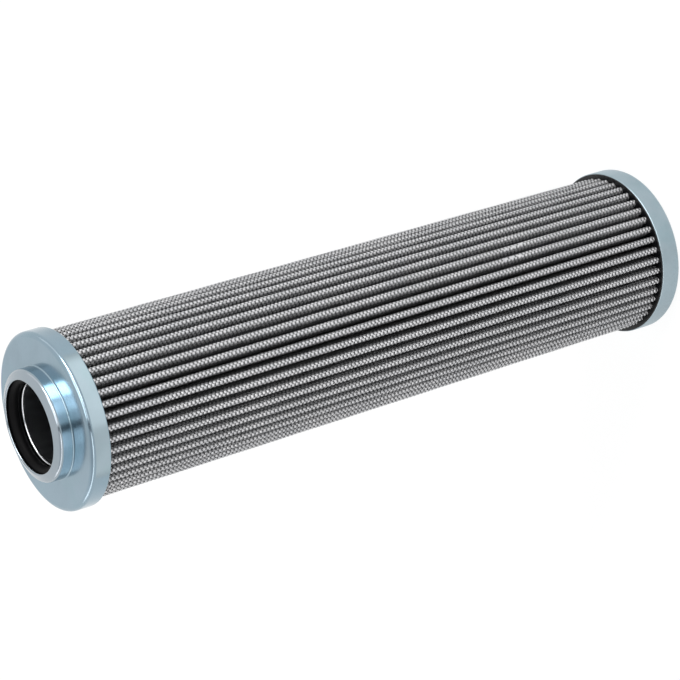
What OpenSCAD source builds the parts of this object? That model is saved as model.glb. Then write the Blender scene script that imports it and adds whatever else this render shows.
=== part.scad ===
// Hydraulic filter element: a pleated, mesh-backed media pack round a perforated
// core tube, potted into two pressed steel end caps. It stands on the closed cap,
// with the outlet collar on top. Millimetres, origin at the centre of the closed face.

/* [Element] */
// Distance between the flat faces of the two end caps
body_len = 213.5; // [100:0.5:320]

/* [End caps] */
// Outer diameter of both end caps
cap_d = 52; // [50:0.1:60]
// Sheet thickness of the end caps and the collar
cap_sheet = 0.8; // [0.6:0.05:1]
// Outside radius of the edge between a cap's face and its rim
cap_edge_r = 1.4; // [1.1:0.1:2.4]
// Height of the outlet cap's rim, from its flat face
outlet_rim_h = 6.2; // [5:0.1:12]
// Height of the closed cap's rim, from its flat face
closed_rim_h = 7.2; // [5:0.1:12]
// Gap between the pleat crests and a cap's inner wall
pack_clearance = 0.6; // [0.3:0.05:1]

/* [Collar] */
// How far the collar's outside stands out past the core tube
collar_step = 1.55; // [1.3:0.05:2.5]
// Height of the collar's lip above the outlet face
collar_h = 5; // [4.6:0.1:7]
// Slope of the collar's front ring, in degrees from the flat face
collar_slope = 25; // [16:1:28]
// Outside radius between the collar's wall and its front ring
collar_corner_r = 1.1; // [0.9:0.1:1.6]
// Fillet radius at the foot of the collar
collar_foot_r = 0.4; // [0.2:0.1:0.8]
// Gap between the mouth in the collar's front ring and the spigot
mouth_gap = 1.5; // [0.8:0.1:2]

/* [Seal] */
// Gap between the skirt of the seal's ring and the core tube's inner wall
skirt_gap = 1.2; // [0.9:0.1:2]
// Sheet thickness of the ring that backs the seal
ring_sheet = 0.8; // [0.5:0.05:1]
// Length of that ring, from its flange to the end of its skirt
ring_len = 8; // [4:0.5:20]
// Radius of the turned edge between the ring's flange and its bore
ring_edge_r = 0.5; // [0.3:0.05:0.5]
// Free play all round the seal in its groove
seal_gap = 0.05; // [0.02:0.01:0.1]

/* [Core tube] */
// Outer diameter of the perforated core tube, which the spigot, seal and collar follow
core_d = 29.6; // [29:0.1:30.4]
// Wall of the core tube
core_wall = 0.8; // [0.5:0.05:1]
// Diameter of a hole in the core tube
core_hole_d = 6; // [3:0.5:7]
// Holes round the core tube
core_holes_round = 8; // [4:2:8]
// Distance between two rows of holes
core_row_pitch = 12.5; // [9:0.5:20]
// Plain length of the core tube at each end
core_plain_end = 14; // [11:0.5:30]
// Gap between the core tube and the pleats' inner folds
core_clearance = 0.2; // [0.1:0.05:0.4]

/* [Pleat pack] */
// Least gap between two neighbouring inner folds, which sets the number of pleats
fold_gap = 0.08; // [0.04:0.01:0.5]
// Thickness of the outer wire cloth
outer_mesh_t = 0.34; // [0.2:0.02:0.36]
// Thickness of the fleece on each side of the filter medium
fleece_t = 0.1; // [0.06:0.01:0.12]
// Thickness of the filter medium
media_t = 0.3; // [0.2:0.01:0.32]
// Thickness of the inner wire cloth
inner_mesh_t = 0.16; // [0.1:0.01:0.18]
// Gap between two plies of the pack
ply_gap = 0.02; // [0.01:0.005:0.03]
// Half the gap left inside a crest fold
crest_slack = 0.06; // [0.03:0.01:0.1]
// Half the gap left inside a valley fold
valley_slack = 0.02; // [0.01:0.01:0.04]
// Distance between two lengthwise wires, measured round a crest
warp_pitch = 1.18; // [0.9:0.02:1.3]
// Height of a lengthwise wire above the cloth
warp_h = 0.08; // [0.04:0.01:0.12]
// Width of a lengthwise wire's ridge
warp_w = 0.34; // [0.2:0.02:0.5]

/* [Adhesive] */
// Thickness of adhesive between a cap's sheet and the ends of the pleats
potting_floor = 1.2; // [0.6:0.1:2]
// Depth of the adhesive below the outlet cap's rim
potting_recess = 0.6; // [0.2:0.1:1.5]
// Height of the adhesive that stands over the closed cap's rim
potting_bead = 0.3; // [0.1:0.05:0.5]
// Radial depth of the glue line that closes the pleat pack
seam_depth = 4; // [2:0.5:5]
// Depth of that glue line below the crests
seam_recess = 1.6; // [1.4:0.1:2.4]

/* [Hidden] */

eps = 0.01;
round_fn = 96;
crest_steps = 6;
valley_steps = 2;

cap_r = cap_d / 2;
cap_in_r = cap_r - cap_sheet;
cap_in_edge_r = cap_edge_r - cap_sheet;

// What sits in line with the core tube follows it: the filter head's spigot, which
// runs through the seal and its ring into the tube, and the collar round them.
core_r = core_d / 2;
core_in_r = core_r - core_wall;
spigot_r = core_in_r - skirt_gap - ring_sheet;
mouth_r = spigot_r + mouth_gap;
collar_r = core_r + collar_step;
collar_in_r = collar_r - cap_sheet;

// Centre of the collar's corner arc, above the outlet face. The front ring's sheet
// leaves it at collar_slope and ends in a half-round lip that is collar_h high.
corner_x = collar_r - collar_corner_r;
mid_arc_r = collar_corner_r - cap_sheet / 2;
lip_x = mouth_r + cap_sheet / 2;
slope_run = (corner_x + mid_arc_r * sin(collar_slope) - lip_x) / cos(collar_slope);
lip_z = collar_h - cap_sheet / 2;
corner_z = lip_z - mid_arc_r * cos(collar_slope) - slope_run * sin(collar_slope);

// The seal fills the groove between the spigot and the collar's inner wall, and
// lies against the underside of the front ring; the support ring closes the groove.
seal_d = collar_in_r - seal_gap - spigot_r;
seal_x = spigot_r + seal_d / 2;
seal_z = corner_z + (collar_corner_r - cap_sheet) / cos(collar_slope)
         + (corner_x - seal_x) * tan(collar_slope)
         - (seal_d / 2 + seal_gap) / cos(collar_slope);
ring_top_z = body_len + seal_z - seal_d / 2 - seal_gap;
ring_flange_r = collar_in_r - seal_gap;

// Heights of what the adhesive holds
pack_z0 = cap_sheet + potting_floor;
pack_z1 = body_len - cap_sheet - potting_floor;
core_z1 = ring_top_z - ring_sheet;
outlet_potting_z0 = body_len - outlet_rim_h + potting_recess;
closed_potting_z1 = closed_rim_h + potting_bead;

// The stack of plies, measured from its middle surface
stack_t = outer_mesh_t + 2 * fleece_t + media_t + inner_mesh_t + 4 * ply_gap;
outer_mesh_out = stack_t / 2;
outer_fleece_out = outer_mesh_out - outer_mesh_t - ply_gap;
media_out = outer_fleece_out - fleece_t - ply_gap;
inner_fleece_out = media_out - media_t - ply_gap;
inner_mesh_out = inner_fleece_out - fleece_t - ply_gap;
crest_mid_r = stack_t / 2 + crest_slack;
valley_mid_r = stack_t / 2 + valley_slack;

// A pleat in plan: a crest arc about crest_x, a valley arc about valley_x half a
// pitch further round, and the straight flank that touches both.
// There are as many pleats, an even number, as the inner folds have room for.
pack_r = cap_in_r - pack_clearance;
pack_in_r = core_r + core_clearance;
crest_x = pack_r - warp_h - crest_mid_r - stack_t / 2;
valley_x = pack_in_r + valley_mid_r + stack_t / 2;
pleat_count = 2 * floor(90 / asin((valley_mid_r + stack_t / 2 + fold_gap / 2) / valley_x));
half_pitch = 180 / pleat_count;
fold_dx = valley_x * cos(half_pitch) - crest_x;
fold_dy = valley_x * sin(half_pitch);
fold_dist = norm([fold_dx, fold_dy]);
flank_normal = atan2(fold_dy, fold_dx) - acos((crest_mid_r + valley_mid_r) / fold_dist);
first_crest = -90;
seam_angle = first_crest + 180 + (pleat_count % 4 == 0 ? half_pitch : -half_pitch);

function polar(r, a) = [r * cos(a), r * sin(a)];

function turned(points, a) =
    [for (p = points) [p.x * cos(a) - p.y * sin(a), p.x * sin(a) + p.y * cos(a)]];

// Angles and extra heights round a plain crest, and round one with three wires
function plain_crest() =
    [for (i = [0 : crest_steps]) [flank_normal * (2 * i / crest_steps - 1), 0]];

function wired_crest(r) =
    let (step = warp_pitch / r * 180 / PI, half = warp_w / 2 / r * 180 / PI)
    concat([[-flank_normal, 0]],
           [for (k = [-1 : 1]) each [[k * step - half, 0], [k * step, warp_h],
                                     [k * step + half, 0],
                                     if (k < 1) [(k + 0.5) * step, 0]]],
           [[flank_normal, 0]]);

// One pleat at distance t outward from the middle of the stack
function pleat_points(t, wires) =
    let (crest_r = crest_mid_r + t,
         valley_r = valley_mid_r - t,
         crest = wires ? wired_crest(crest_r) : plain_crest(),
         valley_a0 = flank_normal + 180,
         valley_a1 = 180 + 2 * half_pitch - flank_normal)
    concat([for (c = crest) [crest_x, 0] + polar(crest_r + c[1], c[0])],
           [for (i = [0 : valley_steps])
                polar(valley_x, half_pitch)
                + polar(valley_r, valley_a0 + (valley_a1 - valley_a0) * i / valley_steps)]);

function pack_outline(t, wires = false) =
    [for (k = [0 : pleat_count - 1])
         each turned(pleat_points(t, wires), first_crest + 2 * half_pitch * k)];

// Half the gap between two neighbouring crests at radius r
function valley_half_gap(r) =
    let (run = (valley_x * cos(half_pitch) - r) * cos(half_pitch),
         tilt = flank_normal - 90 - half_pitch)
    valley_slack - run * tan(-tilt);

// Flat shape of a cup's section: r wide, h high, with a rounded lower corner
module cup_outline(r, h, edge_r) {
    translate([0, edge_r]) square([r, h - edge_r]);
    square([r - edge_r, edge_r + eps]);
    translate([r - edge_r, edge_r]) circle(r = edge_r, $fn = round_fn);
}

// Section of a pressed cap that stands on its face, with a half-round rim
module cap_section(rim_h) {
    difference() {
        cup_outline(cap_r, rim_h - cap_sheet / 2, cap_edge_r);
        translate([0, cap_sheet]) cup_outline(cap_in_r, rim_h, cap_in_edge_r);
    }
    translate([cap_r - cap_sheet / 2, rim_h - cap_sheet / 2]) circle(d = cap_sheet, $fn = round_fn);
}

// Section of the collar's outside or inside, set in from the outside by depth
module collar_outline(depth) {
    r = collar_corner_r - depth;
    touch = [corner_x, corner_z] + r * [sin(collar_slope), cos(collar_slope)];
    polygon([[0, -cap_sheet - eps], [corner_x + r, -cap_sheet - eps], [corner_x + r, corner_z],
             [corner_x, corner_z], touch, [0, touch.y + touch.x * tan(collar_slope)]]);
    translate([corner_x, corner_z]) circle(r = r, $fn = round_fn);
}

module collar_section() {
    difference() {
        collar_outline(0);
        collar_outline(cap_sheet);
        translate([0, -2 * cap_sheet]) square([lip_x, 4 * collar_h]);
        translate([0, -3 * cap_sheet]) square([cap_r, 2 * cap_sheet]);
    }
    translate([lip_x, lip_z]) circle(d = cap_sheet, $fn = round_fn);
    difference() {
        translate([collar_r - eps, -eps]) square(collar_foot_r + eps);
        translate([collar_r + collar_foot_r, collar_foot_r])
            circle(r = collar_foot_r, $fn = round_fn);
    }
}

module outlet_end_cap() {
    color([0.66, 0.72, 0.76])
    rotate_extrude($fn = round_fn)
    translate([0, body_len]) {
        difference() {
            mirror([0, 1]) cap_section(outlet_rim_h);
            translate([0, -2 * cap_sheet]) square([collar_in_r, 3 * cap_sheet]);
        }
        collar_section();
    }
}

module closed_end_cap() {
    color([0.62, 0.69, 0.73])
    rotate_extrude($fn = round_fn) cap_section(closed_rim_h);
}

module collar_seal() {
    color([0.07, 0.07, 0.08])
    rotate_extrude($fn = round_fn)
    translate([seal_x, body_len + seal_z]) circle(d = seal_d, $fn = round_fn);
}

// Flanged ring that closes the seal groove and guides the spigot into the core
module seal_support_ring() {
    color([0.75, 0.77, 0.8])
    rotate_extrude($fn = round_fn)
    translate([spigot_r, ring_top_z]) {
        difference() {
            union() {
                translate([0, -ring_sheet]) square([ring_flange_r - spigot_r, ring_sheet]);
                translate([0, -ring_len]) square([ring_sheet, ring_len]);
            }
            translate([-eps, -ring_edge_r]) square([ring_edge_r + eps, ring_edge_r + eps]);
        }
        intersection() {
            translate([ring_edge_r, -ring_edge_r]) circle(r = ring_edge_r, $fn = round_fn);
            translate([0, -ring_edge_r]) square(ring_edge_r);
        }
    }
}

module core_tube() {
    core_len = core_z1 - pack_z0;
    rows = floor((core_len - 2 * core_plain_end) / core_row_pitch);
    first_row = pack_z0 + (core_len - rows * core_row_pitch) / 2;
    color([0.6, 0.62, 0.65])
    difference() {
        translate([0, 0, pack_z0]) cylinder(r = core_r, h = core_len, $fn = round_fn);
        translate([0, 0, pack_z0 - 1]) cylinder(r = core_in_r, h = core_len + 2, $fn = round_fn);
        for (row = [0 : rows], hole = [0 : core_holes_round / 2 - 1])
            translate([0, 0, first_row + row * core_row_pitch])
            rotate((hole + (row % 2) / 2) * 360 / core_holes_round)
            rotate([90, 0, 0])
            cylinder(d = core_hole_d, h = core_d + 2, center = true, $fn = 32);
    }
}

// One ply of the pleated stack, from its outer surface inward by its thickness
module ply(outside, thickness, wires = false) {
    translate([0, 0, pack_z0])
    linear_extrude(pack_z1 - pack_z0)
    difference() {
        polygon(pack_outline(outside, wires));
        polygon(pack_outline(outside - thickness));
    }
}

module outer_mesh() {
    color([0.62, 0.63, 0.64]) ply(outer_mesh_out, outer_mesh_t, wires = true);
}

module outer_fleece() {
    color([0.9, 0.9, 0.88]) ply(outer_fleece_out, fleece_t);
}

module filter_media() {
    color([0.93, 0.91, 0.84]) ply(media_out, media_t);
}

module inner_fleece() {
    color([0.9, 0.9, 0.88]) ply(inner_fleece_out, fleece_t);
}

module inner_mesh() {
    color([0.55, 0.56, 0.58]) ply(inner_mesh_out, inner_mesh_t);
}

// The space that the pack takes up in the adhesive
module pack_hollow(z0, z1) {
    translate([0, 0, z0])
    linear_extrude(z1 - z0) polygon(pack_outline(outer_mesh_out + ply_gap, wires = true));
}

module outlet_potting() {
    color([0.06, 0.06, 0.07])
    difference() {
        rotate_extrude($fn = round_fn)
        translate([0, body_len - cap_sheet]) mirror([0, 1])
        cup_outline(cap_in_r, body_len - cap_sheet - outlet_potting_z0, cap_in_edge_r);
        pack_hollow(outlet_potting_z0 - 1, pack_z1);
        translate([0, 0, pack_z1 - 1])
            cylinder(r = core_r + core_clearance, h = potting_floor + 2, $fn = round_fn);
    }
}

module closed_potting() {
    bead_r = cap_r - cap_sheet / 4;
    color([0.06, 0.06, 0.07])
    difference() {
        rotate_extrude($fn = round_fn) {
            translate([0, cap_sheet])
                cup_outline(cap_in_r, closed_rim_h - cap_sheet + eps, cap_in_edge_r);
            intersection() {
                union() {
                    translate([0, closed_rim_h]) square([bead_r - potting_bead, potting_bead]);
                    translate([bead_r - potting_bead, closed_rim_h])
                        circle(r = potting_bead, $fn = round_fn);
                }
                translate([0, closed_rim_h]) square([cap_r, potting_bead]);
            }
        }
        pack_hollow(pack_z0, closed_potting_z1 + 1);
    }
}

// Glue line at the back, where the two ends of the pleated strip meet in a valley
module seam_glue_line() {
    r1 = pack_r - seam_recess;
    r0 = r1 - seam_depth;
    w0 = valley_half_gap(r0) - ply_gap;
    w1 = valley_half_gap(r1) - ply_gap;
    color([0.1, 0.1, 0.11])
    translate([0, 0, closed_potting_z1])
    rotate(seam_angle)
    linear_extrude(outlet_potting_z0 - closed_potting_z1)
    polygon([[r0, -w0], [r1, -w1], [r1, w1], [r0, w0]]);
}

outlet_end_cap();
collar_seal();
seal_support_ring();
core_tube();
inner_mesh();
inner_fleece();
filter_media();
outer_fleece();
outer_mesh();
seam_glue_line();
outlet_potting();
closed_potting();
closed_end_cap();
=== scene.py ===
"""Looks of a hydraulic filter element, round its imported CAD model.

The pleats' outer wire cloth is woven here from single wires over a pleated backing.
The other solids keep their CAD shape and get procedural materials.
"""

import math

import bpy
import numpy as np
from mathutils import Matrix, Vector


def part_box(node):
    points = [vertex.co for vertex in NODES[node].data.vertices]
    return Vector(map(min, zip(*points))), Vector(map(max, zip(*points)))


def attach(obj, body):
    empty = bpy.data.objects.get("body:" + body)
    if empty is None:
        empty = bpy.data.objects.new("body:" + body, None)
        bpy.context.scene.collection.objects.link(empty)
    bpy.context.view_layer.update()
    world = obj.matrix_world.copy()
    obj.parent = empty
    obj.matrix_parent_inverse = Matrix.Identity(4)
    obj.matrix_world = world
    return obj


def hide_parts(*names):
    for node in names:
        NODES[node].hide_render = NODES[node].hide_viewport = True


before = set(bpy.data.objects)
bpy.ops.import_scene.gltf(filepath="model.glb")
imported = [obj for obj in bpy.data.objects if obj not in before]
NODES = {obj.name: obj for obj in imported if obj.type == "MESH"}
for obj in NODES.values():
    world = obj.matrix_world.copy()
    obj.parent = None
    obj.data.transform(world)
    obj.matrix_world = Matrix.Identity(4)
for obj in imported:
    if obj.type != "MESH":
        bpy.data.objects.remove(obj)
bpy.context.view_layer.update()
MM = 0.001

# Camera, from the photograph's perspective, in metres and degrees
CAMERA_PLACE = (-0.0035, -0.6446, 0.5103)
CAMERA_TURN = -0.1543
CAMERA_PITCH = 58.378
CAMERA_ROLL = -106.832
LENS_MM = 134.28

# Pleats, as in the part's source, in millimetres
PLEATS = 44
FIRST_CREST = -math.pi / 2
STACK_HALF = 0.54
CREST_MID_R = 0.60
VALLEY_MID_R = 0.56
CORE_CLEARANCE = 0.2
WARP_RIDGE = 0.08
# How far the cloth's ends stand in the adhesive of the closed and the outlet cap
POTTED_CLOSED = 0.4
POTTED_OUTLET = 0.2

# Weave, in millimetres; a beat is one pitch of the lengthwise wires
WEFT_PITCH = 0.6615
WARP_PITCH = 1.18
WEFT_HALF_WIDTH = (0.30, 0.41)
WEFT_HEIGHT = 0.15
WEFT_EDGE_TILT = math.radians(40)
WARP_R = 0.12
# The next three are (on the flanks, on the crest)
WEFT_SWING = (0.07, 0.13)
WEFT_LEVEL = (0.20, 0.34)
SHEET_LEVEL = (0.20, 0.24)
CREST_REACH = 1.7
CREST_BEATS = (-2.0, 1.0)
CREST_SAMPLES = 3
FLANK_BEATS = 1.5
FLANK_STEP = 0.5
SLOPE_STEP = 0.01
WARP_REACH = 3.0
WARP_STEP = 5.0
SKEW_LENGTH = 28.0
CLOTH_PIECES = 6

# Swollen knuckles, as (pleat, height), and their size along and round the crest
FLAWS = ((2, 57.9), (2, 61.1), (2, 63.9), (3, 55.7), (3, 58.6), (3, 61.4))
FLAW_SIZE = (0.6, 0.8)

# Differences from pleat to pleat
SEED = 7
WEFT_SCATTER = 0.5
WARP_SCATTER = 0.2
PLEAT_SHIFT = 0.06
SKEW_SCATTER = 0.1
# Sideways drift of the crests: (share, half-turns) of two waves, their size, a
# lasting bias, and how steeply the drift dies at the ends
DRIFT_WAVES = ((0.6, 2.1), (0.4, 5.3))
DRIFT_SIZE = 0.04
DRIFT_BIAS = 0.02
DRIFT_HOLD = 0.6

# Sheet under the wires: rows along it, columns on half a crest, shares of the flank,
# and where it rises again to the ply's own face, in millimetres from the crest's top
SHEET_ROWS = 25
SHEET_CREST = 6
SHEET_FLANK = (0.15, 0.25, 0.35, 0.6, 1.0)
SHEET_EDGE = 4.0
SHEET_BLEND = 0.7

# Zinc plate: tints, the depth of the collar's paler lip and its fade, in metres,
# and the tool's marks to the metre
OUTLET_TINT = (0.275, 0.370, 0.435)
CLOSED_TINT = (0.345, 0.430, 0.475)
LIP_DEPTH = 0.0019
LIP_FADE = 0.0006
MARKS = 2600.0

# Studio, in metres and watts
FLOOR_HALF = 6.0
FLOOR_Z = -0.0001
# Lamps: name, place, size, power, and whether metal mirrors it
LAMPS = (
    ("key", (0.75, -0.52, 0.64), (0.50, 0.28), 4.3, True),
    ("fill", (-0.38, -0.96, 0.36), (0.6, 0.5), 4.5, False),
    ("back", (0.15, 1.0, 0.45), (0.9, 0.5), 4.0, False),
)
LAMP_TARGET = (0.0, 0.0, 0.11)
# Reflector cards round the collar: name, (azimuth, strength) stops, elevations in
# degrees, distance and colour
CARDS = (
    ("low_card", ((-180, 1.0), (-170, 1.35), (-117, 1.35), (-110, 1.85), (-30, 1.85),
                  (-17, 1.0)), (-33, -18), 0.36, (1.0, 0.93, 0.87)),
    ("wall_card", ((-225, 2.8), (-153, 2.8), (-145, 4.0), (-105, 4.0), (-101, 3.2),
                   (-84, 3.2), (-78, 6.6), (-60, 6.6), (-52, 2.7), (-18, 2.7),
                   (-8, 1.6), (35, 1.6)), (20, 31), 1.15, (1.0, 0.93, 0.91)),
    ("dark_card", ((-119, 0.25), (-103, 0.25)), (8, 62), 1.05, (0.8, 0.9, 1.0)),
    ("shade_card", ((-225, 1.0), (-205, 0.8), (-119, 0.8)), (33, 72), 1.15,
     (0.95, 0.97, 1.0)),
    ("top_card", ((-115, 1.0), (-109, 3.8), (-34, 3.8), (-22, 1.0)), (46, 64), 1.15,
     (1.0, 1.0, 1.0)),
)
CARD_CENTRE = (0.0, 0.0, 0.21)
CARD_STEP = 4.0
CARD_ROWS = 4


def corner_max(node):
    """Highest corner of a CAD node's box, in millimetres."""
    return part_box(node)[1] / MM


CLOTH_R = corner_max("outer_mesh").x
CORE_R = corner_max("core_tube").x
CREST_X = CLOTH_R - WARP_RIDGE - CREST_MID_R - STACK_HALF
VALLEY_X = CORE_R + CORE_CLEARANCE + VALLEY_MID_R + STACK_HALF
HALF_PITCH = math.pi / PLEATS
CLOTH_Z0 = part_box("closed_potting")[1].z / MM - POTTED_CLOSED
CLOTH_Z1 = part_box("outlet_potting")[0].z / MM + POTTED_OUTLET

# A flank touches the crest's and the valley's arcs
FOLD_DX = VALLEY_X * math.cos(HALF_PITCH) - CREST_X
FOLD_DY = VALLEY_X * math.sin(HALF_PITCH)
FOLD_DIST = math.hypot(FOLD_DX, FOLD_DY)
FLANK_NORMAL = math.atan2(FOLD_DY, FOLD_DX) - math.acos(
    (CREST_MID_R + VALLEY_MID_R) / FOLD_DIST
)
FLANK_LEN = math.sqrt(FOLD_DIST**2 - (CREST_MID_R + VALLEY_MID_R) ** 2)
CREST_ARC = FLANK_NORMAL * (CREST_MID_R + STACK_HALF)


# Camera

def add_camera():
    """The photograph's camera, fitted to the element's outline."""
    data = bpy.data.cameras.new("camera")
    data.lens = LENS_MM
    data.sensor_width = 36.0
    camera = bpy.data.objects.new("camera", data)
    turn = Matrix.Rotation(math.radians(CAMERA_TURN), 4, "Z")
    pitch = Matrix.Rotation(math.radians(CAMERA_PITCH), 4, "X")
    roll = Matrix.Rotation(math.radians(CAMERA_ROLL), 4, "Z")
    camera.matrix_world = Matrix.Translation(CAMERA_PLACE) @ turn @ pitch @ roll
    bpy.context.scene.collection.objects.link(camera)
    bpy.context.scene.camera = camera


# Node helpers

class Tree:
    """A material's or the world's node tree, with short calls to fill it."""

    def __init__(self, owner):
        owner.use_nodes = True
        self.tree = owner.node_tree
        self.tree.nodes.clear()

    def node(self, kind, inputs=None, **settings):
        new = self.tree.nodes.new(kind)
        for name, value in settings.items():
            setattr(new, name, value)
        for name, value in (inputs or {}).items():
            self.feed(new.inputs[name], value)
        return new

    def feed(self, socket, value):
        if isinstance(value, bpy.types.NodeSocket):
            self.tree.links.new(value, socket)
        else:
            socket.default_value = value

    def math(self, operation, a, b=0.0, clamp=False):
        new = self.node("ShaderNodeMath", operation=operation, use_clamp=clamp)
        self.feed(new.inputs[0], a)
        self.feed(new.inputs[1], b)
        return new.outputs[0]

    def noise(self, vector, scale, detail=2.0, roughness=0.5, distortion=0.0):
        new = self.node(
            "ShaderNodeTexNoise",
            {"Vector": vector, "Scale": scale, "Detail": detail,
             "Roughness": roughness, "Distortion": distortion},
        )
        return new.outputs["Fac"]

    def ramp(self, value, stops):
        """stops are (place, colour) or (place, grey level)."""
        new = self.node("ShaderNodeValToRGB", {"Fac": value})
        elements = new.color_ramp.elements
        while len(elements) < len(stops):
            elements.new(0.5)
        for element, (place, colour) in zip(elements, stops):
            if not isinstance(colour, tuple):
                colour = (colour,) * 3
            element.position = place
            element.color = (*colour, 1.0)
        return new.outputs["Color"]

    def mix(self, factor, a, b, blend="MIX"):
        new = self.node("ShaderNodeMix", data_type="RGBA", blend_type=blend)
        self.feed(new.inputs["Factor"], factor)
        for name, value in (("A", a), ("B", b)):
            if isinstance(value, tuple):
                value = (*value, 1.0)
            socket = [s for s in new.inputs if s.name == name and s.type == "RGBA"][0]
            self.feed(socket, value)
        return [s for s in new.outputs if s.type == "RGBA"][0]

    def coords(self, kind="Object"):
        return self.node("ShaderNodeTexCoord").outputs[kind]

    def scaled(self, vector, scale):
        return self.node(
            "ShaderNodeMapping", {"Vector": vector, "Scale": scale}
        ).outputs["Vector"]

    def bump(self, height, strength, distance):
        return self.node(
            "ShaderNodeBump",
            {"Height": height, "Strength": strength, "Distance": distance},
        ).outputs["Normal"]


# Sockets whose names aren't plain capitalised words
SOCKETS = {"specular_ior_level": "Specular IOR Level"}


def principled(name, **inputs):
    """A new material with one Principled BSDF; returns (material, tree, shader)."""
    material = bpy.data.materials.new(name)
    tree = Tree(material)
    shader = tree.node("ShaderNodeBsdfPrincipled")
    for key, value in inputs.items():
        socket = shader.inputs[SOCKETS.get(key, key.replace("_", " ").title())]
        socket.default_value = (*value, 1.0) if isinstance(value, tuple) else value
    out = tree.node("ShaderNodeOutputMaterial")
    tree.feed(out.inputs["Surface"], shader.outputs[0])
    return material, tree, shader


# Materials

def turned_coordinates(tree):
    """(radius, angle, height) of a point about the element's axis, in metres."""
    split = tree.node("ShaderNodeSeparateXYZ", {"Vector": tree.coords()})
    x, y, z = split.outputs
    radius = tree.math("SQRT", tree.math("ADD", tree.math("MULTIPLY", x, x),
                                         tree.math("MULTIPLY", y, y)))
    angle = tree.math("ARCTAN2", y, x)
    return radius, angle, z


def zinc_material(name, tint, smoothest, roughest, bare_from=None):
    """Bright blue zinc plate: soft colour clouds and faint marks of the spinning tool.

    Above the height bare_from, in metres, the plate is thin and paler.
    """
    dark, light = [tuple(share * value for value in tint) for share in (0.90, 1.06)]
    material, tree, shader = principled(name, metallic=1.0)
    place = tree.coords()
    clouds = tree.noise(place, 55.0, 3.0, 0.55, 0.4)
    colour = tree.ramp(clouds, [(0.30, dark), (0.50, tint), (0.72, light)])
    stain = tree.ramp(tree.noise(place, 130.0, 4.0, 0.6), [(0.45, 0.0), (0.75, 0.35)])
    colour = tree.mix(stain, colour, (0.23, 0.36, 0.40))
    radius, angle, height = turned_coordinates(tree)
    if bare_from is not None:
        above = tree.math("SUBTRACT", height, bare_from)
        bare = tree.math("MULTIPLY", above, 1 / LIP_FADE, clamp=True)
        paler = tree.mix(0.5, colour, (0.42, 0.43, 0.45))
        colour = tree.mix(bare, colour, paler)
    tree.feed(shader.inputs["Base Color"], colour)
    rings = tree.node("ShaderNodeCombineXYZ", {
        "X": tree.math("MULTIPLY", radius, MARKS),
        "Y": tree.math("MULTIPLY", angle, 1.2),
        "Z": tree.math("MULTIPLY", height, MARKS),
    }).outputs[0]
    marks = tree.noise(rings, 1.0, 2.0, 0.6)
    tree.feed(shader.inputs["Normal"], tree.bump(marks, 0.02, 0.00002))
    rough = tree.ramp(tree.noise(place, 90.0, 3.0), [(0.3, smoothest), (0.7, roughest)])
    tree.feed(shader.inputs["Roughness"], rough)
    return material


def rubber_material():
    """Matt black nitrile with a fine grain and a little dust."""
    material, tree, shader = principled(
        "seal_rubber", base_color=(0.004, 0.004, 0.0045), specular_ior_level=0.06)
    grain = tree.noise(tree.coords(), 9000.0, 2.0)
    tree.feed(shader.inputs["Normal"], tree.bump(grain, 0.12, 0.00002))
    dust = tree.ramp(tree.noise(tree.coords(), 260.0, 3.0), [(0.35, 0.42), (0.7, 0.58)])
    tree.feed(shader.inputs["Roughness"], dust)
    return material


def bright_material():
    """Bright bare steel of the support ring."""
    material, tree, shader = principled("bright_steel", metallic=1.0, roughness=0.2)
    colour = tree.ramp(tree.noise(tree.coords(), 120.0, 3.0), [
        (0.35, (0.56, 0.59, 0.61)), (0.65, (0.66, 0.68, 0.70))])
    tree.feed(shader.inputs["Base Color"], colour)
    return material


def core_material():
    """Dull zinc-plated steel of the core tube, its colour darkened as painted shade,
    since it stays in the dark.
    """
    material, tree, shader = principled("core_steel", metallic=1.0, roughness=0.4)
    # Painted shade: dark colours for the tube inside the bore.
    colour = tree.ramp(tree.noise(tree.coords(), 90.0, 4.0, 0.6), [
        (0.3, (0.15, 0.16, 0.17)), (0.7, (0.23, 0.24, 0.26))])
    tree.feed(shader.inputs["Base Color"], colour)
    return material


def adhesive_material():
    """Cured black epoxy with a slightly uneven skin."""
    material, tree, shader = principled(
        "black_adhesive", base_color=(0.004, 0.0045, 0.0055), specular_ior_level=0.3)
    swell = tree.noise(tree.coords(), 700.0, 3.0, 0.6, 0.6)
    tree.feed(shader.inputs["Normal"], tree.bump(swell, 0.35, 0.0002))
    haze = tree.ramp(tree.noise(tree.coords(), 300.0, 3.0), [(0.35, 0.24), (0.7, 0.42)])
    tree.feed(shader.inputs["Roughness"], haze)
    return material


def fleece_material():
    """White fleece, its fibres drawn out along the element."""
    material, tree, shader = principled("fleece", roughness=0.9)
    fibres = tree.noise(tree.scaled(tree.coords(), (4000.0, 4000.0, 1500.0)), 1.0, 4.0)
    colour = tree.ramp(fibres, [(0.3, (0.60, 0.60, 0.58)), (0.7, (0.80, 0.80, 0.78))])
    tree.feed(shader.inputs["Base Color"], colour)
    tree.feed(shader.inputs["Normal"], tree.bump(fibres, 0.4, 0.0001))
    return material


def medium_material():
    """Cream-coloured glass fibre."""
    material, tree, shader = principled("glass_fibre_medium", roughness=0.95)
    fibres = tree.noise(tree.coords(), 2500.0, 5.0, 0.7)
    colour = tree.ramp(fibres, [(0.3, (0.72, 0.69, 0.60)), (0.7, (0.86, 0.83, 0.75))])
    tree.feed(shader.inputs["Base Color"], colour)
    return material


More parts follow.
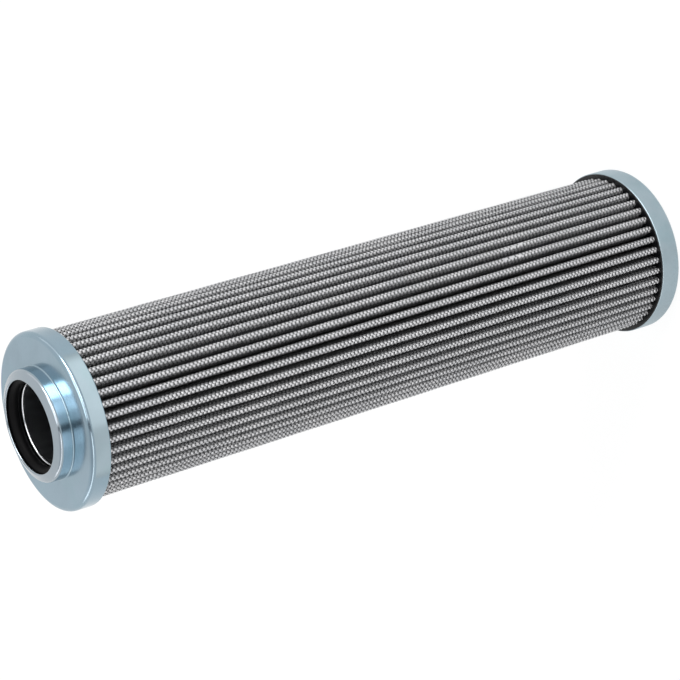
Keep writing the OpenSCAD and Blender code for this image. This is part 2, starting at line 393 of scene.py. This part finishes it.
def inner_cloth_material():
    """Fine woven cloth, seen only through the core tube's holes."""
    material, tree, shader = principled("inner_wire_cloth", metallic=0.9, roughness=0.45)
    wires = tree.node("ShaderNodeTexWave", {
        "Vector": tree.coords(), "Scale": 900.0, "Distortion": 0.6},
        bands_direction="Z").outputs["Fac"]
    colour = tree.ramp(wires, [(0.2, (0.05, 0.05, 0.055)), (0.8, (0.42, 0.43, 0.45))])
    tree.feed(shader.inputs["Base Color"], colour)
    tree.feed(shader.inputs["Normal"], tree.bump(wires, 0.5, 0.0001))
    return material


def wire_tone(tree):
    """0.5 or so, a little different at each knuckle and along the cloth."""
    tone = tree.noise(tree.coords(), 900.0, 2.0, 0.6)
    slow = tree.noise(tree.coords(), 60.0, 2.0)
    return tree.math("ADD", tree.math("MULTIPLY", tone, 0.65),
                     tree.math("MULTIPLY", slow, 0.35))


def weft_material():
    """Drawn steel wire, with painted shade: darker down the flanks, and darker still in
    the dips where a wire passes under a lengthwise one.
    """
    material, tree, shader = principled("weft_wire", metallic=0.25, roughness=0.45)
    bright = tree.ramp(wire_tone(tree), [(0.35, (0.51, 0.52, 0.54)),
                                         (0.65, (0.67, 0.67, 0.68))])
    split = tree.node("ShaderNodeSeparateXYZ", {"Vector": tree.coords("UV")})
    dip, run = split.outputs[0], split.outputs[1]
    down = tree.math("MULTIPLY", tree.math("ABSOLUTE", run), 0.5)
    # Painted shade: the wire's colour darkens down the flanks, away from the crest's top.
    flank_shade = tree.ramp(down, [(0.28, 1.0), (0.62, 0.57)])
    bright = tree.mix(1.0, bright, flank_shade, "MULTIPLY")
    # Painted shade: the dark colour of a wire where it dips under a lengthwise one,
    # darker still down the flanks.
    low = tree.ramp(down, [(0.28, (0.085, 0.087, 0.092)), (0.62, (0.034, 0.035, 0.038))])
    height = tree.math("COSINE", tree.math("MULTIPLY", dip, math.pi))
    # Painted shade: the colour sinks from a knuckle's top to the dark colour of the dips.
    trough_shade_fade = tree.ramp(tree.math("MULTIPLY", tree.math("ADD", height, 1.0), 0.5),
                     [(0.28, 0.0), (0.70, 1.0)])
    colour = tree.mix(trough_shade_fade, low, bright)
    tree.feed(shader.inputs["Base Color"], colour)
    return material


def warp_material():
    """Steel of the lengthwise wires, between the knuckles, made darker than the wefts as
    painted shade.
    """
    material, tree, shader = principled("warp_wire", metallic=0.3, roughness=0.45)
    # Painted shade: the wefts' steel, darkened where these wires lie deep between the
    # knuckles.
    colour = tree.ramp(wire_tone(tree), [(0.35, (0.14, 0.144, 0.15)),
                                         (0.65, (0.22, 0.224, 0.23))])
    tree.feed(shader.inputs["Base Color"], colour)
    return material


def fold_material():
    """The cloth between the crests, in painted shade: a fine dark weave on the flanks,
    and a plain dark grey under the wires for the fleece in their shade.
    """
    material, tree, shader = principled("cloth_folds", metallic=0.4, roughness=0.6)
    split = tree.node("ShaderNodeSeparateXYZ", {"Vector": tree.coords("UV")})
    across, along = split.outputs[0], split.outputs[1]
    wefts = tree.math("ABSOLUTE", tree.math(
        "SINE", tree.math("MULTIPLY", along, math.pi / WEFT_PITCH)))
    warps = tree.math("ABSOLUTE", tree.math(
        "SINE", tree.math("MULTIPLY", across, math.pi / WARP_PITCH)))
    weave = tree.math("MULTIPLY", wefts, tree.math("ADD", warps, 0.4))
    depth = tree.math("ABSOLUTE", across)
    # Painted shade: plain dark grey under the wires, and a dark woven pattern beyond them
    # on the flanks.
    past_wires = tree.ramp(tree.math("MULTIPLY", depth, 0.1), [(0.26, 0.0), (0.34, 1.0)])
    cloth = tree.ramp(weave, [(0.2, (0.055, 0.057, 0.062)), (0.9, (0.23, 0.235, 0.24))])
    colour = tree.mix(past_wires, (0.12, 0.122, 0.125), cloth)
    tree.feed(shader.inputs["Base Color"], colour)
    tree.feed(shader.inputs["Normal"], tree.bump(weave, 0.6, 0.00025))
    return material


# Wire cloth

def flank_point(run, out):
    """Places and outward normals on a pleat, in its own frame (crest along +x).

    run is the way round the crest from its top, and out the distance from the
    middle of the stack, both in millimetres, as arrays of one shape.
    """
    side = np.sign(run)
    along = np.abs(run)
    angle = np.minimum(along, CREST_ARC) / (CREST_MID_R + STACK_HALF)
    flat = np.maximum(along - CREST_ARC, 0.0)
    normal = np.stack([np.cos(angle), side * np.sin(angle)], -1)
    tangent = np.stack([-np.sin(angle), side * np.cos(angle)], -1)
    place = normal * (CREST_MID_R + out)[..., None] + tangent * flat[..., None]
    place[..., 0] += CREST_X
    return place, normal


def crest_angle(pleat):
    """Where a pleat's crest stands round the axis, in radians."""
    return FIRST_CREST + 2 * HALF_PITCH * pleat


def wander(pleat, z, phases):
    """Sideways drift of a crest, in millimetres; none at the potted ends."""
    span = (z - CLOTH_Z0) / (CLOTH_Z1 - CLOTH_Z0)
    hold = np.sin(np.pi * np.clip(span, 0.0, 1.0)) ** DRIFT_HOLD
    *starts, bias = phases[pleat]
    wave = sum(share * np.sin(turns * np.pi * span + start)
               for (share, turns), start in zip(DRIFT_WAVES, starts))
    return hold * (DRIFT_SIZE * wave + DRIFT_BIAS * bias)


def fading(run, flank_and_crest):
    """A height that sinks from its crest value to its flank value."""
    flank, crest = flank_and_crest
    away = np.minimum(np.abs(run) / CREST_REACH, 1.0)
    return flank + (crest - flank) * np.cos(np.pi / 2 * away) ** 2


def to_row(place, normal, pleat, z, drift):
    """Turns pleat-frame places and normals into the row frame."""
    depth = np.clip((place[..., 0] - VALLEY_X) / (CREST_X - VALLEY_X), 0.0, 1.0)
    x = place[..., 0]
    y = place[..., 1] + depth * drift
    ca, sa = math.cos(crest_angle(pleat)), math.sin(crest_angle(pleat))
    out = np.stack([x * ca - y * sa, x * sa + y * ca, z], -1)
    flat = np.stack([normal[..., 0] * ca - normal[..., 1] * sa,
                     normal[..., 0] * sa + normal[..., 1] * ca,
                     np.zeros_like(z)], -1)
    return out, flat


def strip_faces(rows, columns, start):
    """Quads of a grid of points with that many rows and columns."""
    grid = start + np.arange(rows * columns).reshape(rows, columns)
    return np.stack([grid[:-1, :-1], grid[:-1, 1:], grid[1:, 1:], grid[1:, :-1]],
                    -1).reshape(-1, 4)


def tube_faces(count, length, start):
    """Quads of half-tubes, each a row of length rings of three points."""
    one = strip_faces(length, 3, 0)[:, ::-1]
    starts = start + np.arange(count)[:, None, None] * length * 3
    return (one[None] + starts).reshape(-1, 4)


class Cloth:
    """Collects points, normals, faces, material numbers and UVs of one piece."""

    def __init__(self):
        self.points, self.normals, self.faces, self.kinds, self.uvs = [], [], [], [], []
        self.count = 0

    def add(self, points, normals, faces, kind, uvs):
        self.points.append(points.reshape(-1, 3))
        self.normals.append(normals.reshape(-1, 3))
        self.faces.append(faces)
        self.kinds.append(np.full(len(faces), kind))
        self.uvs.append(uvs.reshape(-1, 2))
        self.count += points.size // 3

    def build(self, name, materials):
        points = np.concatenate(self.points) * MM
        faces = np.concatenate(self.faces)
        mesh = bpy.data.meshes.new(name)
        mesh.from_pydata(points, [], faces)
        mesh.polygons.foreach_set("material_index", np.concatenate(self.kinds))
        mesh.polygons.foreach_set("use_smooth", np.ones(len(faces), bool))
        layer = mesh.uv_layers.new(name="cloth")
        layer.data.foreach_set("uv", np.concatenate(self.uvs)[faces.ravel()].ravel())
        for material in materials:
            mesh.materials.append(material)
        mesh.normals_split_custom_set_from_vertices(np.concatenate(self.normals))
        piece = bpy.data.objects.new(name, mesh)
        bpy.context.scene.collection.objects.link(piece)
        return piece


def add_wefts(cloth, pleat, shift, phases, rows):
    """Wires across one crest, over and under the lengthwise ones."""
    numbers = np.arange(rows)
    z = CLOTH_Z0 + (numbers + phases["weft"][pleat]) * WEFT_PITCH
    low_beat, high_beat = CREST_BEATS
    beats = np.concatenate([
        np.arange(low_beat - FLANK_BEATS, low_beat, FLANK_STEP),
        np.linspace(low_beat, high_beat,
                    round((high_beat - low_beat) * CREST_SAMPLES) + 1),
        np.arange(high_beat + FLANK_STEP, high_beat + FLANK_BEATS + FLANK_STEP / 2,
                  FLANK_STEP),
    ])
    whole = np.floor(shift(z))
    run_grid = (beats[None, :] + (shift(z) - whole)[:, None]) * WARP_PITCH
    beat = beats[None, :] + (numbers - whole)[:, None]
    swell = np.zeros_like(beat)
    long, wide = FLAW_SIZE
    for flawed, spot in FLAWS:
        if flawed == pleat:
            swell += np.exp(-(((z[:, None] - spot) / long) ** 2) - (run_grid / wide) ** 2)

    def swing(step):
        """1 where a wire is on top of a lengthwise one, -1 where it is under it."""
        wave = np.cos(np.pi * (beat + step / WARP_PITCH))
        return wave + (1.0 - wave) * swell

    def height(step):
        run = run_grid + step
        return fading(run, WEFT_LEVEL) + fading(run, WEFT_SWING) * swing(step)

    slope = (height(SLOPE_STEP) - height(-SLOPE_STEP)) / (2 * SLOPE_STEP)
    place, normal = flank_point(run_grid, height(0.0))
    z_grid = np.broadcast_to(z[:, None], run_grid.shape)
    drift = wander(pleat, z_grid, phases["wander"])
    centre, outward = to_row(place, normal, pleat, z_grid, drift)
    up = np.zeros_like(outward)
    up[..., 2] = 1.0
    low, high = WEFT_HALF_WIDTH
    half_width = up * (low + (high - low) * (swing(0.0) + 1.0) / 2.0)[..., None]
    ring = np.stack([centre - half_width, centre + outward * WEFT_HEIGHT,
                     centre + half_width], 2)
    across = np.stack([-outward[..., 1], outward[..., 0], np.zeros_like(z_grid)], -1)
    facing = outward - slope[..., None] * across
    facing /= np.linalg.norm(facing, axis=-1, keepdims=True)
    lean, rise = math.sin(WEFT_EDGE_TILT) * up, math.cos(WEFT_EDGE_TILT) * facing
    ring_normals = np.stack([rise - lean, facing, rise + lean], 2)
    dip = np.arccos(np.clip(swing(0.0), -1.0, 1.0)) / np.pi
    uvs = np.stack([dip, run_grid], -1)[:, :, None, :].repeat(3, 2)
    cloth.add(ring, ring_normals, tube_faces(rows, len(beats), cloth.count), 0, uvs)


def add_warps(cloth, pleat, shift, phases):
    """Lengthwise wires under the knuckles, which cross the crest at a slant."""
    ends = np.array([CLOTH_Z0, CLOTH_Z1])
    first = math.ceil(-WARP_REACH / WARP_PITCH - shift(ends).max())
    last = math.floor(WARP_REACH / WARP_PITCH - shift(ends).min())
    for row in range(first, last + 1):
        near = (np.array([-WARP_REACH, WARP_REACH]) / WARP_PITCH - row
                - shift(ends[0])) / (shift(ends[1]) - shift(ends[0]))
        near = ends[0] + np.clip(np.sort(near), 0.0, 1.0) * (ends[1] - ends[0])
        if near[1] - near[0] < WARP_STEP:
            continue
        z = np.linspace(*near, math.ceil((near[1] - near[0]) / WARP_STEP) + 1)
        run = (row + shift(z)) * WARP_PITCH
        place, normal = flank_point(run, fading(run, WEFT_LEVEL))
        centre, outward = to_row(place, normal, pleat, z,
                                 wander(pleat, z, phases["wander"]))
        side = np.stack([-outward[..., 1], outward[..., 0], np.zeros_like(z)], -1)
        ring = np.stack([centre + side * WARP_R, centre + outward * WARP_R,
                         centre - side * WARP_R], 1)
        ring_normals = np.stack([side, outward, -side], 1)
        uvs = np.stack([run, z], -1)[:, None, :].repeat(3, 1)
        cloth.add(ring, ring_normals, tube_faces(1, len(z), cloth.count), 1, uvs)


def add_folds(cloth, pleat):
    """The pleated sheet under the wires, from one valley to the next."""
    z = np.linspace(CLOTH_Z0 - POTTED_CLOSED, CLOTH_Z1 + POTTED_CLOSED, SHEET_ROWS)
    crest = np.linspace(0.0, CREST_ARC, SHEET_CREST)
    flank = CREST_ARC + FLANK_LEN * np.array(SHEET_FLANK)
    half_run = np.concatenate([crest, flank])
    run = np.concatenate([-half_run[:0:-1], half_run])
    sunk = np.clip((SHEET_EDGE - np.abs(run)) / SHEET_BLEND, 0.0, 1.0)
    out = STACK_HALF - (STACK_HALF - fading(run, SHEET_LEVEL)) * sunk
    run_grid = np.broadcast_to(run, (len(z), len(run)))
    out_grid = np.broadcast_to(out, run_grid.shape)
    z_grid = np.broadcast_to(z[:, None], run_grid.shape)
    place, normal = flank_point(run_grid, out_grid)
    points, normals = to_row(place, normal, pleat, z_grid, 0.0)
    uvs = np.stack([run_grid, z_grid], -1)
    faces = strip_faces(len(z), len(run), cloth.count)
    cloth.add(points, normals, faces, 2, uvs)


def slant(base, skew):
    """Gives, for a height, where the lengthwise wires stand, in pitches off the crest."""
    return lambda z: base - skew * (z - CLOTH_Z0) / SKEW_LENGTH


def weave_cloth(materials):
    """Builds the outer wire cloth as pieces that stand for the CAD node outer_mesh."""
    rng = np.random.default_rng(SEED)
    phases = {
        "weft": WEFT_SCATTER * rng.random(PLEATS),
        "warp": PLEAT_SHIFT * np.arange(PLEATS) + WARP_SCATTER * rng.random(PLEATS),
        "skew": 1.0 + SKEW_SCATTER * (rng.random(PLEATS) - 0.5),
        "wander": np.stack([rng.random(PLEATS) * 2 * np.pi,
                            rng.random(PLEATS) * 2 * np.pi,
                            rng.random(PLEATS) * 2 - 1], -1),
    }
    rows = int((CLOTH_Z1 - CLOTH_Z0) / WEFT_PITCH) + 1
    for number in range(CLOTH_PIECES):
        cloth = Cloth()
        for pleat in range(number * PLEATS // CLOTH_PIECES,
                           (number + 1) * PLEATS // CLOTH_PIECES):
            shift = slant(phases["warp"][pleat], phases["skew"][pleat])
            add_wefts(cloth, pleat, shift, phases, rows)
            add_warps(cloth, pleat, shift, phases)
            add_folds(cloth, pleat)
        piece = cloth.build(f"outer_wire_cloth_{number + 1}", materials)
        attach(piece, "root")
        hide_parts("outer_mesh")


# Studio

def seen_directly(tree):
    """1 for rays from the camera, and for those that metal or glass sends on."""
    path = tree.node("ShaderNodeLightPath")
    direct = tree.math("MAXIMUM", path.outputs["Is Camera Ray"],
                       path.outputs["Is Glossy Ray"])
    return tree.math("MAXIMUM", direct, path.outputs["Is Transmission Ray"])


def add_floor():
    """A pale floor that is white to the camera and in reflections, with a faint shadow.

    It lies a hair under the cap, and its underside is clear.
    """
    mesh = bpy.data.meshes.new("floor")
    corners = [(x * FLOOR_HALF, y * FLOOR_HALF, FLOOR_Z)
               for x, y in ((-1, -1), (1, -1), (1, 1), (-1, 1))]
    mesh.from_pydata(corners, [], [(0, 1, 2, 3)])
    floor = bpy.data.objects.new("floor", mesh)
    bpy.context.scene.collection.objects.link(floor)
    material = bpy.data.materials.new("floor")
    tree = Tree(material)
    pale = tree.node("ShaderNodeBsdfDiffuse", {"Color": (0.8, 0.8, 0.8, 1.0)})
    glow = tree.node("ShaderNodeEmission", {"Color": (1, 1, 1, 1), "Strength": 0.90})
    veil = tree.node("ShaderNodeBsdfDiffuse", {"Color": (0.16, 0.16, 0.16, 1.0)})
    white = tree.node("ShaderNodeAddShader")
    tree.feed(white.inputs[0], glow.outputs[0])
    tree.feed(white.inputs[1], veil.outputs[0])
    mix = tree.node("ShaderNodeMixShader", {"Fac": seen_directly(tree)})
    tree.feed(mix.inputs[1], pale.outputs[0])
    tree.feed(mix.inputs[2], white.outputs[0])
    below = tree.node("ShaderNodeNewGeometry").outputs["Backfacing"]
    whole = tree.node("ShaderNodeMixShader", {"Fac": below})
    tree.feed(whole.inputs[1], mix.outputs[0])
    tree.feed(whole.inputs[2], tree.node("ShaderNodeBsdfTransparent").outputs[0])
    out = tree.node("ShaderNodeOutputMaterial")
    tree.feed(out.inputs["Surface"], whole.outputs[0])
    mesh.materials.append(material)


def add_world():
    """A pale world that is white to the camera and in reflections."""
    world = bpy.data.worlds.new("studio")
    bpy.context.scene.world = world
    tree = Tree(world)
    light = tree.node("ShaderNodeBackground", {"Color": (0.97, 0.99, 1.0, 1.0),
                                               "Strength": 0.42})
    white = tree.node("ShaderNodeBackground", {"Color": (1, 1, 1, 1), "Strength": 1.0})
    mix = tree.node("ShaderNodeMixShader", {"Fac": seen_directly(tree)})
    tree.feed(mix.inputs[1], light.outputs[0])
    tree.feed(mix.inputs[2], white.outputs[0])
    out = tree.node("ShaderNodeOutputWorld")
    tree.feed(out.inputs["Surface"], mix.outputs[0])


def add_lamp(name, place, size, watts, mirrored):
    """A soft rectangular lamp that faces the middle of the element."""
    data = bpy.data.lights.new(name, "AREA")
    data.shape = "RECTANGLE"
    data.size, data.size_y = size
    data.energy = watts
    lamp = bpy.data.objects.new(name, data)
    lamp.location = place
    aim = Vector(LAMP_TARGET) - Vector(place)
    lamp.rotation_mode = "QUATERNION"
    lamp.rotation_quaternion = aim.to_track_quat("-Z", "Y")
    lamp.visible_camera = False
    lamp.visible_glossy = mirrored
    bpy.context.scene.collection.objects.link(lamp)


def add_card(name, stops, elevations, distance, colour):
    """A curved card that only reflections show, its strength fading from stop to stop."""
    first, last = stops[0][0], stops[-1][0]
    columns = int((last - first) / CARD_STEP) + 2
    az, el = np.meshgrid(np.radians(np.linspace(first, last, columns)),
                         np.radians(np.linspace(*elevations, CARD_ROWS)),
                         indexing="ij")
    away = np.stack([np.cos(el) * np.cos(az), np.cos(el) * np.sin(az), np.sin(el)], -1)
    points = np.array(CARD_CENTRE) + distance * away.reshape(-1, 3)
    mesh = bpy.data.meshes.new(name)
    mesh.from_pydata(points, [], strip_faces(columns, CARD_ROWS, 0))
    material = bpy.data.materials.new(name)
    tree = Tree(material)
    angle = turned_coordinates(tree)[1]
    past = tree.math("FLOORED_MODULO", tree.math("SUBTRACT", angle, math.radians(first)),
                     2 * math.pi)
    along = tree.math("MULTIPLY", past, 1 / math.radians(last - first))
    peak = max(strength for _, strength in stops)
    fade = tree.ramp(along, [((azimuth - first) / (last - first), strength / peak)
                             for azimuth, strength in stops])
    glow = tree.node("ShaderNodeEmission", {"Color": (*colour, 1.0)})
    tree.feed(glow.inputs["Strength"], tree.math("MULTIPLY", fade, peak))
    out = tree.node("ShaderNodeOutputMaterial")
    tree.feed(out.inputs["Surface"], glow.outputs[0])
    mesh.materials.append(material)
    card = bpy.data.objects.new(name, mesh)
    card.visible_camera = False
    card.visible_diffuse = False
    card.visible_shadow = False
    bpy.context.scene.collection.objects.link(card)


def main():
    bpy.context.scene.view_settings.view_transform = "Standard"
    add_camera()
    looks = {
        "outlet_end_cap": zinc_material("outlet_zinc", OUTLET_TINT, 0.14, 0.21,
                                        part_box("outlet_end_cap")[1].z - LIP_DEPTH),
        "closed_end_cap": zinc_material("closed_zinc", CLOSED_TINT, 0.34, 0.42),
        "collar_seal": rubber_material(),
        "seal_support_ring": bright_material(),
        "core_tube": core_material(),
        "inner_mesh": inner_cloth_material(),
        "inner_fleece": fleece_material(),
        "filter_media": medium_material(),
        "outer_fleece": fleece_material(),
    }
    adhesive = adhesive_material()
    for node in ("outlet_potting", "closed_potting", "seam_glue_line"):
        looks[node] = adhesive
    for node, material in looks.items():
        for slot in NODES[node].material_slots:
            slot.material = material
    weave_cloth([weft_material(), warp_material(), fold_material()])
    add_floor()
    add_world()
    for lamp in LAMPS:
        add_lamp(*lamp)
    for card in CARDS:
        add_card(*card)


main()
